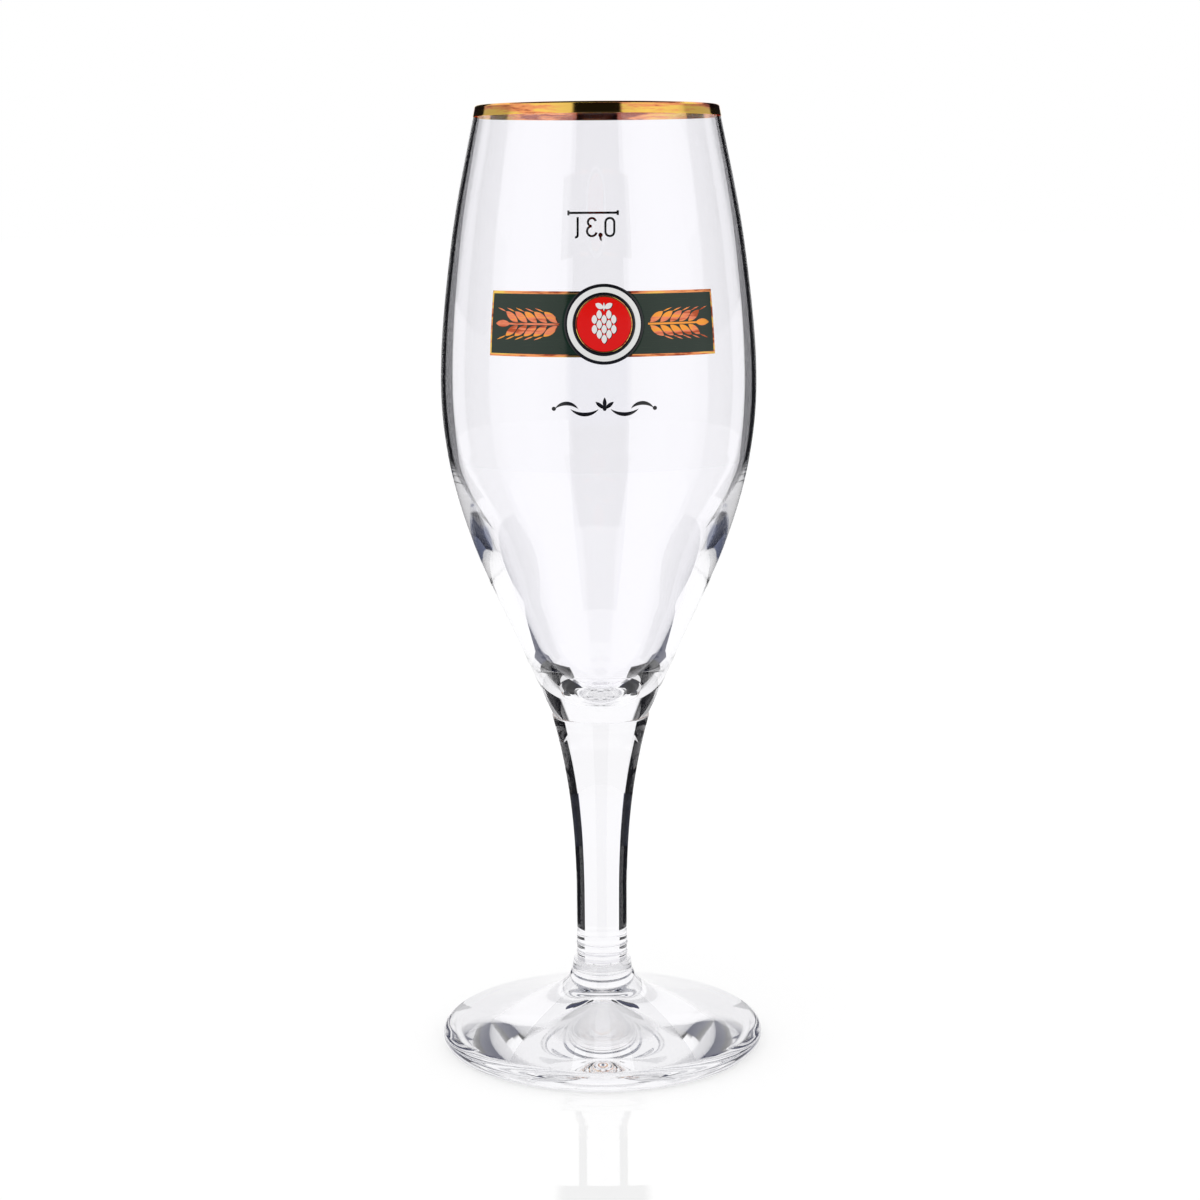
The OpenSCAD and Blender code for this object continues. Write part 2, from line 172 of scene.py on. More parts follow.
@dataclass
class Shell:
    """Points and quads of a closed surface, with a material number for each quad."""

    points: Array
    quads: Array
    material: Array | None = None

    def outward(self) -> "Shell":
        """The same surface with its faces turned outwards.

        The sum of a . (b x c) over the triangles a, b, c is six times the volume inside, and it
        is negative where the faces point inwards.
        """
        a, b, c, d = (self.points[self.quads[:, k]] for k in range(4))
        volume = np.sum(a * np.cross(b, c)) + np.sum(a * np.cross(c, d))
        return self if volume > 0 else Shell(self.points, self.quads[:, ::-1], self.material)


def join_shells(shells: Sequence[Shell]) -> Shell:
    """Several closed surfaces as one list of points and quads."""
    shells = [s.outward() for s in shells]
    starts = np.cumsum([0] + [len(s.points) for s in shells[:-1]])
    return Shell(np.vstack([s.points for s in shells]), np.vstack([s.quads + n for s, n in zip(shells, starts)]))


def revolve(outline: Array, segments: int, ring: bool = False) -> Shell:
    """Solid of revolution, (r cos a, r sin a, z) for each outline point (r, z) and angle a.

    Args:
        outline: Points (radius, height) from the axis round to the axis, or once round a ring.
        segments: Number of angles.
        ring: Whether the outline closes on itself clear of the axis.

    Returns:
        The closed surface.
    """
    if ring:
        outline = np.vstack((outline, outline[:1]))
    a = np.linspace(0, 2 * np.pi, segments, endpoint=False)
    r, z = outline[:, :1], outline[:, 1:]
    points = np.stack((r * np.cos(a), r * np.sin(a), z + 0 * a), -1).reshape(-1, 3)
    return Shell(points, grid_quads(len(outline), segments, True))


def film_shell(outer: Array, inner: Array, close: bool = False) -> Shell:
    """Thin closed film between two grids of points, joined by a narrow strip along their free edges.

    Args:
        outer: Points of the outer face, rows by columns by 3.
        inner: Points of the inner face in the same order.
        close: Whether each row is a closed ring.

    Returns:
        The closed surface.
    """
    rows, columns = outer.shape[:2]
    number = np.arange(rows * columns).reshape(rows, columns)
    if close:
        edges = [number[0][::-1], number[-1]]
    else:
        edges = [np.concatenate((number[0, ::-1], number[1:, 0], number[-1, 1:], number[-2:0:-1, -1]))]
    quads = grid_quads(rows, columns, close)
    below = rows * columns
    strips = [np.stack((e, e + below, np.roll(e, -1) + below, np.roll(e, -1)), -1) for e in edges]
    points = np.concatenate((outer.reshape(-1, 3), inner.reshape(-1, 3)))
    return Shell(points, np.vstack([quads, quads[:, ::-1] + below, *strips]))


# Shaders


Number = "Wire | float"


class Wire:
    """A value that flows through a shader. Arithmetic on it adds Math nodes."""

    def __init__(self, shader: "Shader", socket: bpy.types.NodeSocket) -> None:
        """Wraps a node's output socket."""
        self.shader = shader
        self.socket = socket

    def math(self, operation: str, *values: Number) -> "Wire":
        """Adds one Math node and returns its output."""
        return self.shader.node("ShaderNodeMath", {"operation": operation}, dict(enumerate(values)))

    def __add__(self, other: Number) -> "Wire":
        """Sum."""
        return self.math("ADD", self, other)

    def __sub__(self, other: Number) -> "Wire":
        """Difference."""
        return self.math("SUBTRACT", self, other)

    def __rsub__(self, other: float) -> "Wire":
        """Difference from a number."""
        return self.math("SUBTRACT", other, self)

    def __mul__(self, other: Number) -> "Wire":
        """Product."""
        return self.math("MULTIPLY", self, other)

    __radd__, __rmul__ = __add__, __mul__

    def clamp(self) -> "Wire":
        """The value held between 0 and 1."""
        return self.shader.node("ShaderNodeClamp", {}, {"Value": self})

    def above(self, low: float, high: float) -> "Wire":
        """0 below low, 1 above high and smooth between them."""
        return self.shader.node("ShaderNodeMapRange", {"interpolation_type": "SMOOTHSTEP"},
                                {"Value": self, "From Min": low, "From Max": high})


Value = Wire | float | Sequence[float]


class Shader:
    """Builds one material's nodes."""

    def __init__(self, name: str, tree: bpy.types.NodeTree | None = None) -> None:
        """Starts a new material, or the nodes of a tree that exists."""
        self.material = None
        if tree is None:
            self.material = bpy.data.materials.new(name)
            self.material.use_nodes = True
            tree = self.material.node_tree
        tree.nodes.clear()
        self.tree = tree

    def node(self, kind: str, settings: dict, inputs: dict, output: int | str = 0) -> Wire | None:
        """Adds a node.

        Args:
            kind: Blender's name of the node's type.
            settings: Its own properties, set first. "stops" are the places and colours of a ramp.
            inputs: A value or a wire for each input, by name or number.
            output: Name or number of the output to use.

        Returns:
            That output.
        """
        made = self.tree.nodes.new(kind)
        for key, value in settings.items():
            if key == "stops":
                ramp = made.color_ramp.elements
                while len(ramp) < len(value):
                    ramp.new(1)
                for stop, (place, colour) in zip(ramp, value):
                    stop.position, stop.color = place, (*colour, 1)
            else:
                setattr(made, key, value)
        for key, value in inputs.items():
            if isinstance(value, Wire):
                self.tree.links.new(value.socket, made.inputs[key])
            else:
                made.inputs[key].default_value = value
        return Wire(self, made.outputs[output]) if made.outputs else None

    def mix(self, factor: Value, first: Value, second: Value) -> Wire:
        """A colour between two, by a factor from 0 to 1."""
        ends = [c if isinstance(c, Wire) else (*c, 1) for c in (first, second)]
        return self.node("ShaderNodeMix", {"data_type": "RGBA"}, {0: factor, 6: ends[0], 7: ends[1]}, 2)

    def place(self, scale: Sequence[float] = (1, 1, 1), turn: Sequence[float] = (0, 0, 0)) -> Wire:
        """Object coordinates, scaled and turned."""
        at = self.node("ShaderNodeTexCoord", {}, {}, "Object")
        return self.node("ShaderNodeMapping", {}, {"Vector": at, "Scale": scale, "Rotation": turn})

    def noise(self, at: Wire, scale: float, detail: float, roughness: float = 0.5) -> Wire:
        """Noise between 0 and 1."""
        return self.node("ShaderNodeTexNoise", {}, {"Vector": at, "Scale": scale, "Detail": detail,
                                                    "Roughness": roughness})

    def bump(self, height: Wire, distance: float, strength: float = 1) -> Wire:
        """Normal of a surface raised by a height."""
        return self.node("ShaderNodeBump", {}, {"Height": height, "Distance": distance, "Strength": strength})

    def surface(self, inputs: dict) -> Material:
        """Ends the shader in a Principled surface with these inputs."""
        return self.end(self.node("ShaderNodeBsdfPrincipled", {}, inputs))

    def light(self, colour: Value) -> Material:
        """Ends the shader in a light of a colour."""
        return self.end(self.node("ShaderNodeEmission", {}, {"Color": colour}))

    def end(self, closure: Wire, kind: str = "ShaderNodeOutputMaterial") -> Material | None:
        """Ends the shader in a closure."""
        self.node(kind, {}, {"Surface": closure})
        return self.material


@dataclass(frozen=True)
class ClearGlass:
    """Fire-polished soda-lime glass with a very faint cool tint.

    The waves are the slow undulation of blown glass, and the haze is what washing leaves.
    """

    slot: Slot = Slot.CLEAR_GLASS
    tint: Colour = (0.982, 0.978, 1.0)
    ior: float = 1.5
    wave_scale: float = 55
    wave_height: float = 0.02 * MM
    haze: float = 0.02

    def material(self) -> Material:
        """Builds the material."""
        shader = Shader(self.slot.value)
        waves = shader.noise(shader.place((1, 1, 0.35)), self.wave_scale, 1)
        haze = shader.noise(shader.place(), 160, 4, 0.7).above(0.5, 0.95)
        return shader.surface({
            "Base Color": shader.mix(haze, self.tint, [0.99 * c for c in self.tint]),
            "Roughness": haze * self.haze,
            "IOR": self.ior, "Transmission Weight": 1,
            "Normal": shader.bump(waves, self.wave_height),
        })


@dataclass(frozen=True)
class FiredGold:
    """Thin fired gold: burnished metal that clouds over to salmon and brown, with fine streaks."""

    slot: Slot = Slot.GOLD
    bright: Colour = (1.0, 0.64, 0.14)
    flush: Colour = (0.95, 0.36, 0.14)
    deep: Colour = (0.40, 0.075, 0.03)
    roughness: float = 0.03

    def material(self) -> Material:
        """Builds the material."""
        shader = Shader(self.slot.value)
        clouds = shader.noise(shader.place((1, 1, 9)), 58, 5, 0.62)
        streaks = shader.noise(shader.place((1, 1, 16)), 420, 3, 0.6)
        scratch = shader.noise(shader.place((1, 1, 40), (0.25, 0.1, 0)), 900, 1)
        clouded = shader.mix(clouds.above(0.43, 0.52), self.bright, self.flush)
        return shader.surface({
            "Base Color": shader.mix(clouds.above(0.52, 0.60), clouded, self.deep),
            "Metallic": 1,
            "Roughness": self.roughness + 0.07 * streaks,
            "Normal": shader.bump(streaks * 0.6 + scratch * 0.4, 0.003 * MM, 0.5),
        })


@dataclass(frozen=True)
class Enamel:
    """Fired glass enamel: a glossy colour with brush lines, fine scratches and dust-sized pits."""

    slot: Slot
    colour: Colour
    worn: Colour
    brush: float = 0.2
    ior: float = 1.5
    roughness: float = 0.07

    def material(self) -> Material:
        """Builds the material."""
        shader = Shader(self.slot.value)
        brushed = shader.noise(shader.place((1, 1, 26), (0.03, 0, 0)), 260, 4, 0.65)
        crossed = shader.noise(shader.place((1, 1, 30), (0, 0.62, 0)), 330, 2, 0.6).above(0.6, 0.78)
        pits = shader.noise(shader.place(), 2600, 1).above(0.7, 0.8)
        wear = (brushed.above(0.5, 0.8) * self.brush + crossed * (0.6 * self.brush)).clamp()
        return shader.surface({
            "Base Color": shader.mix(wear, self.colour, self.worn),
            "Roughness": self.roughness + 0.22 * wear,
            "IOR": self.ior,
            "Normal": shader.bump(brushed * 0.5 + crossed * 0.5 - pits * 0.4, 0.008 * MM, 0.7),
        })


FINISHES = (
    ClearGlass(),
    FiredGold(),
    FiredGold(Slot.COPPER_GOLD, (1.0, 0.38, 0.07), (0.90, 0.27, 0.15), (0.50, 0.10, 0.04)),
    Enamel(Slot.GREEN_ENAMEL, (0.006, 0.022, 0.011), (0.04, 0.06, 0.035), 0.35),
    Enamel(Slot.BLACK_ENAMEL, (0.006, 0.006, 0.008), (0.03, 0.03, 0.03), 0.15),
    Enamel(Slot.WHITE_ENAMEL, (0.93, 0.93, 0.92), (0.82, 0.82, 0.80)),
    Enamel(Slot.RED_ENAMEL, (0.86, 0.008, 0.004), (0.70, 0.012, 0.008)),
)


class Maker:
    """Turns closed surfaces into pieces, with every material made once."""

    def __init__(self) -> None:
        """Builds the materials. The joint is where two pieces of glass have become one: nothing shows."""
        self.materials = {finish.slot: finish.material() for finish in FINISHES}
        self.joint = Shader("fused_joint").surface({"Alpha": 0})

    def piece(self, name: str, slot: Slot, shell: Shell, crease: float = 50, replaces: bool = True) -> None:
        """Makes a mesh object at the origin and ties it to the frame.

        Args:
            name: Name of the piece.
            slot: Its material slot. Quads with material number 1 are a joint.
            shell: Its surface.
            crease: Edges that turn by more than this angle, in degrees, stay sharp.
            replaces: Whether it stands for the CAD node of its name.
        """
        shell = shell.outward()
        mesh = bpy.data.meshes.new(name)
        mesh.from_pydata(shell.points, [], shell.quads)
        if shell.material is not None:
            mesh.polygons.foreach_set("material_index", shell.material.astype(np.int32))
        work = bmesh.new()
        work.from_mesh(mesh)
        bmesh.ops.remove_doubles(work, verts=work.verts, dist=MERGE_DISTANCE)
        work.to_mesh(mesh)
        work.free()
        mesh.polygons.foreach_set("use_smooth", np.ones(len(mesh.polygons), bool))
        mesh.set_sharp_from_angle(angle=math.radians(crease))
        mesh.materials.append(self.materials[slot])
        if shell.material is not None:
            mesh.materials.append(self.joint)
        piece = bpy.data.objects.new(name, mesh)
        bpy.context.scene.collection.objects.link(piece)
        if replaces:
            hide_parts(name)
        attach(piece, "root")
        LOG.info("%s: %d faces", name, len(mesh.polygons))


# Glass


@dataclass(frozen=True)
class BowlShape:
    """Outline of the bowl, outside and inside.

    The outside runs through five places by cubics. The wall grows from thin to thick down the
    flank, and the inside rounds into a floor on a cubic with handles.
    """

    seam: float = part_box("bowl")[0].z
    lip_top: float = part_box("bowl")[1].z
    belly_radius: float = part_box("bowl")[1].x
    end_radius: float = 11.15 * MM
    flank_radius: float = 23.85 * MM
    shoulder_radius: float = 33.9 * MM
    lip_radius: float = 27.95 * MM
    wall: float = 1.05 * MM
    flank_wall: float = 4.4 * MM
    bottom_glass: float = 4.4 * MM
    place_shares: tuple[float, ...] = (0.195, 0.5515, 0.774)
    leans: tuple[float, ...] = (0.488, 0.475, 0, -0.134, -0.201)
    thick_shares: Pair = (0.435, 0.21)
    inside_round_share: float = 0.125
    inside_handle_share: float = 0.55
    inside_floor_share: float = 0.42

    @property
    def height(self) -> float:
        """Height of the bowl."""
        return self.lip_top - self.seam

    @property
    def lip_round(self) -> float:
        """Radius of the rounding at the lip, half the wall."""
        return self.wall / 2

    @property
    def lip_centre(self) -> Pair:
        """Centre (radius, height) of the rounding at the lip."""
        return self.lip_radius - self.lip_round, self.lip_top - self.lip_round

    def outside(self, z: Array | float) -> Array:
        """Outside radius at heights."""
        heights = [self.seam, *(self.seam + s * self.height for s in self.place_shares), self.lip_centre[1]]
        radii = [self.end_radius, self.flank_radius, self.belly_radius, self.shoulder_radius, self.lip_radius]
        places = [Place(*values) for values in zip(heights, radii, self.leans)]
        return radius_along(places, np.asarray(z, float))

    def inside(self, z: Array | float) -> Array:
        """Inside radius at heights above the rounded floor.

        The wall is thin + (thick - thin) (3u^2 - 2u^3), with u from 0 to 1 down the flank.
        """
        start, end = (self.seam + s * self.height for s in self.thick_shares)
        u = np.clip((start - z) / (start - end), 0, 1)
        return self.outside(z) - self.wall - (self.flank_wall - self.wall) * (3 * u**2 - 2 * u**3)


@dataclass
class GlassBody:
    """Bowl, stem and foot: three solids of revolution, fused where they meet."""

    maker: Maker
    shape: BowlShape = BowlShape()
    segments: int = 256
    crease: float = 60
    bottom_ring_radius: float = 3.2 * MM
    bottom_ring_depth: float = 0.3 * MM
    bottom_ring_width: float = 0.38 * MM
    stem_top_radius: float = 11.5 * MM
    stem_top_lean: float = 0.282
    stem_shoulder: float = 0.16 * MM
    waist_radius: float = 6.05 * MM
    waist_height: float = 15.6 * MM
    stem_end_radius: float = 6 * MM
    ring_heights: Pair = (3.9 * MM, 1.6 * MM)
    ring_width: float = 0.9 * MM
    ring_rise: float = 0.15 * MM
    hub_radius: float = 6.9 * MM
    hub_round: float = 0.25 * MM
    hub_base: Pair = (9.75 * MM, 13.9 * MM)
    hub_shares: tuple[Pair, Pair] = ((0.07, 0.37), (0.25, 0.65))
    top_shares: tuple[Pair, Pair] = ((0.10, 0.27), (0.48, 0.66))
    foot_top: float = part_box("stem")[0].z
    foot_radius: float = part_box("foot")[1].x
    edge_radius: float = 2.45 * MM
    edge_over: Pair = (3.6 * MM, 2.7 * MM)
    edge_turn: float = 55
    rest_width: float = 2 * MM
    rest_round: float = 0.3 * MM
    rest_lift_share: float = 0.35
    hollow_height: float = 7 * MM
    hollow_shares: tuple[Pair, Pair] = ((0.1, 0.1), (0.17, 1))

    def solid(self, name: str, outline: Array, fused: Sequence[int]) -> None:
        """Revolves an outline. The fused steps of it are joints."""
        shell = revolve(outline, self.segments)
        joint = np.zeros(len(outline) - 1, int)
        joint[list(fused)] = 1
        shell.material = np.repeat(joint, self.segments)
        self.maker.piece(name, Slot.CLEAR_GLASS, shell, self.crease)

    def bowl(self) -> None:
        """The bowl, from the joint up the outside, over the lip and down the inside to its floor."""
        s = self.shape
        z = np.linspace(s.seam, s.lip_centre[1], 120)
        outside = np.column_stack((s.outside(z), z))
        lip = arc(s.lip_centre, s.lip_round, 0, 180, 14)[1:]
        turn = s.seam + s.inside_round_share * s.height
        floor = s.seam + s.bottom_glass
        z = np.linspace(s.lip_centre[1], turn, 100)[1:-1]
        inside = np.column_stack((s.inside(z), z))
        start = np.array((float(s.inside(turn)), turn))
        drop = s.inside_handle_share * (turn - floor)
        lean = (inside[-1] - start) / (inside[-1, 1] - turn)
        bottom = bezier([start, start - lean * drop, (start[0] * s.inside_floor_share, floor), (0, floor)], 60)
        groove = np.exp(-((bottom[:, 0] - self.bottom_ring_radius) / self.bottom_ring_width)**2)
        bottom[:, 1] -= self.bottom_ring_depth * groove
        self.solid("bowl", np.vstack(((0, s.seam), outside, lip, inside, bottom)), [0])

    def stem(self) -> None:
        """The stem, with a small round shoulder at its top and two fine rings at its lower end."""
        low, high = self.foot_top, self.shape.seam
        places = [Place(low + self.waist_height, self.waist_radius, 0),
                  Place(high - self.stem_shoulder, self.stem_top_radius, self.stem_top_lean)]
        z = np.linspace(low, low + self.waist_height, 90)
        rings = sum(np.sqrt(np.clip(1 - ((z - low - h) / (self.ring_width / 2))**2, 0, 1)) for h in self.ring_heights)
        share = (z - low) / self.waist_height
        radius = self.stem_end_radius + (self.waist_radius - self.stem_end_radius) * share + self.ring_rise * rings
        lower = np.column_stack((radius, z))
        z = np.linspace(places[0].height, places[1].height, 90)[1:]
        upper = np.column_stack((radius_along(places, z), z))
        centre = (self.stem_top_radius - self.stem_shoulder, high - self.stem_shoulder)
        shoulder = arc(centre, self.stem_shoulder, 0, 90, 7)[1:]
        outline = np.vstack(((0, low), lower, upper, shoulder, (self.shape.end_radius, high), (0, high)))
        self.solid("stem", outline, [0, -1])

    def foot(self) -> None:
        """The foot: hub, upper side, round edge, resting ring and the hollow under it."""
        top, rest = self.foot_top, self.foot_radius - self.edge_radius
        start = np.array((self.hub_radius, top - self.hub_round))
        base = np.array(self.hub_base)
        over = (arc((0, 0), 1, self.edge_turn, 0, 30) * self.edge_over
                + (self.foot_radius - self.edge_over[0], self.edge_radius))
        under = arc((rest, self.edge_radius), self.edge_radius, 0, -90, 30)[1:]
        hub = bezier([start, *(start + np.array(s) * (base - start) for s in self.hub_shares), base], 40)
        upper = bezier([base, *(base + np.array(s) * (over[0] - base) for s in self.top_shares), over[0]], 70)[1:]
        ring = rest - self.rest_width
        flat = line((rest, 0), (ring + self.rest_round, 0), 4)[1:]
        handles = [np.array((ring, self.hollow_height)) * s for s in self.hollow_shares]
        edge = (ring, self.rest_round * self.rest_lift_share)
        hollow = bezier([edge, *handles, (0, self.hollow_height)], 110)
        shoulder = arc((self.hub_radius - self.hub_round, start[1]), self.hub_round, 90, 0, 7)[:-1]
        joint = ((0, top), (self.stem_end_radius, top))
        self.solid("foot", np.vstack((joint, shoulder, hub, upper, over[1:], under, flat, hollow)), [0])


# Fired prints


@dataclass(frozen=True)
class Wall:
    """The bowl's outside as something to print on.

    A print's lower face lies a hair off the glass, and its upper face drops a little at the edges.
    """

    shape: BowlShape
    maker: Maker
    film: float = 0.06 * MM
    gap: float = 0.01 * MM
    edge_drop: float = 0.5

    def points(self, angle: Array, z: Array, lift: Array | float) -> Array:
        """Points (r sin a, -r cos a, z) on the wall, with r the outside radius plus a lift.

        Args:
            angle: Angle from the front, in radians, counted towards +X.
            z: Height.
            lift: Distance off the glass.

        Returns:
            The points.
        """
        r = self.shape.outside(z) + lift
        return np.stack((r * np.sin(angle), -r * np.cos(angle), z), -1)

    def aim(self, x: Array, z: Array) -> Array:
        """Angle at which a point x beside the middle of a flat drawing meets the wall."""
        return np.arcsin(np.clip(x / self.shape.outside(z), -1, 1))

    def film_at(self, angle: Array, z: Array, layer: int = 0, close: bool = False,
                crown: Array | None = None) -> Shell:
        """A film over a grid of angles and heights.

        Args:
            angle: Angles of the grid, in radians.
            z: Heights of the grid.
            layer: 0 on the glass, 1 on another film.
            close: Whether each row is a closed ring.
            crown: Share of the full thickness at each point: by itself 1, and less on free edges.

        Returns:
            The closed film.
        """
        if crown is None:
            crown = np.ones(angle.shape)
            crown[[0, -1]] = 1 - self.edge_drop
            if not close:
                crown[:, [0, -1]] = 1 - self.edge_drop
        low = layer * self.film + (self.gap if layer == 0 else -self.gap)
        high = layer * self.film + self.film * crown
        return film_shell(self.points(angle, z, high), self.points(angle, z, low), close)

    def drawing(self, drawing: Drawing, height: float, turn: float = 0, layer: int = 0,
                close: bool = False, crown: Array | None = None) -> Shell:
        """A flat drawing, projected straight onto the wall.

        Args:
            drawing: Places to the right and places up, over a grid.
            height: Height of the drawing's middle.
            turn: Angle of the drawing's middle from the front, in degrees.
            layer, close, crown: As for film_at.

        Returns:
            The closed film.
        """
        x, y = drawing
        z = height + y
        return self.film_at(self.aim(x, z) + math.radians(turn), z, layer, close, crown)

    def fire(self, name: str, slot: Slot, shells: Sequence[Shell], replaces: bool = True) -> None:
        """Makes one piece of several films."""
        self.maker.piece(name, slot, join_shells(shells), replaces=replaces)


LEAF_ALONG = np.sin(np.linspace(-np.pi / 2, np.pi / 2, 25))[:, None]
LEAF_ACROSS = np.linspace(-1, 1, 7)[None, :]
LEAF_CROWN = 1 - 0.6 * np.maximum(LEAF_ACROSS**2, LEAF_ALONG**8)


def turned(drawing: Drawing, angle: float, at: Pair = (0, 0)) -> Drawing:
    """A drawing turned by an angle in degrees and moved."""
    (x, y), c, s = drawing, math.cos(math.radians(angle)), math.sin(math.radians(angle))
    return at[0] + c * x - s * y, at[1] + s * x + c * y


def leaf(length: float, width: float) -> Drawing:
    """Pointed leaf of two arcs, upright about its middle.

    With t from -1 to 1 along it and s from -1 to 1 across, y is half the length times t and x is s
    times the arc's half width there, sqrt(R^2 - y^2) - R + width / 2. The rows run close together
    near the tips.
    """
    radius = (length**2 + width**2) / (4 * width)
    y = length / 2 * LEAF_ALONG + 0 * LEAF_ACROSS
    half = np.sqrt(radius**2 - y**2) - radius + width / 2
    return LEAF_ACROSS * np.maximum(half, 0), y


def ruled(first: Array, second: Array, across: int = 5) -> Drawing:
    """Surface of straight lines between two paths with as many points: (1 - v) a + v b."""
    v = np.linspace(0, 1, across)[:, None, None]
    points = (1 - v) * first + v * second
    return points[..., 0], points[..., 1]


def ring_between(inner: float, outer: float, around: int = 128, across: int = 5, at: Pair = (0, 0)) -> Drawing:
    """Ring of points (p cos a, p sin a) between two radii, each row a closed circle, and moved."""
    p = np.linspace(inner, outer, across)[:, None]
    a = np.linspace(0, 2 * np.pi, around, endpoint=False)[None, :]
    return p * np.cos(a) + at[0], p * np.sin(a) + at[1]


def dot(radius: float, at: Pair = (0, 0)) -> Drawing:
    """Round dot."""
    return ring_between(0, radius, 40, at=at)


def stroke(path: Array, width: float) -> Drawing:
    """Line of one width along a path: the path plus and minus half the width along its normal."""
    step = np.gradient(path, axis=0)
    normal = np.column_stack((-step[:, 1], step[:, 0])) / np.linalg.norm(step, axis=1)[:, None]
    return ruled(path - normal * width / 2, path + normal * width / 2)


@dataclass
class GoldRim:
    """Gold over the lip, from a little below it outside, round it, to where the inside starts."""

    wall: Wall
    segments: int = 320
    height: float = 2.5 * MM

    def build(self) -> None:
        """Builds the ring: a line on the film's outer face and one on its inner face, revolved."""
        s = self.wall.shape
        z = np.linspace(s.lip_top - self.height, s.lip_centre[1], 24)
        faces = []
        for lift in (self.wall.film, self.wall.gap):
            side = np.column_stack((s.outside(z) + lift, z))
            faces.append(np.vstack((side, arc(s.lip_centre, s.lip_round + lift, 0, 180, 20)[1:])))
        faces[0][0, 0] -= self.wall.edge_drop * self.wall.film
        self.wall.fire("gold_rim", Slot.GOLD, [revolve(np.vstack((faces[0], faces[1][::-1])), self.segments, True)])


@dataclass
class Band:
    """The enamelled band with its gold lines, left open where the medallion lies."""

    wall: Wall
    medallion_radius: float
    low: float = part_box("band_lines")[0].z
    high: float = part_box("band_lines")[1].z
    half_angle: float = 43.2
    line_width: float = 0.6 * MM
    end_width: float = 0.4 * MM

    @property
    def middle(self) -> float:
        """Height of the band's middle."""
        return (self.low + self.high) / 2

    @property
    def green_angle(self) -> float:
        """Angle to the end of the green, in radians."""
        return math.radians(self.half_angle) - self.end_width / float(self.wall.shape.outside(self.middle))

    def notch(self, z: Array | float) -> Array:
        """Angle of the medallion's edge at heights, from x^2 + (z - middle)^2 = radius^2."""
        x = np.sqrt(np.clip(self.medallion_radius**2 - (z - self.middle)**2, 0, None))
        return self.wall.aim(x, z)

    def field(self, side: Side) -> Shell:
        """Green from the medallion's edge to the end, on heights by shares of the way."""
        z = np.linspace(self.low + self.line_width, self.high - self.line_width, 40)[:, None]
        share = np.linspace(0, 1, 70)[None, :]
        start = self.notch(z)
        return self.wall.film_at(side.value * (start + share * (self.green_angle - start)), z + 0 * share)

    def border(self, side: Side) -> Shell:
        """Gold line along the top, down the end and back along the bottom, between two paths."""
        paths = []
        for angle, inset in ((math.radians(self.half_angle), 0.0), (self.green_angle, self.line_width)):
            top, bottom = self.high - inset, self.low + inset
            start, finish = float(self.notch(top)), float(self.notch(bottom))
            paths.append(np.vstack((line((start, top), (angle, top), 60), line((angle, top), (angle, bottom), 30)[1:],
                                    line((angle, bottom), (finish, bottom), 60)[1:])))
        angle, z = ruled(paths[0], paths[1], 4)
        return self.wall.film_at(side.value * angle, z)

    def build(self) -> None:
        """Builds the green and its gold lines."""
        self.wall.fire("band", Slot.GREEN_ENAMEL, [self.field(s) for s in Side])
        self.wall.fire("band_lines", Slot.GOLD, [self.border(s) for s in Side])


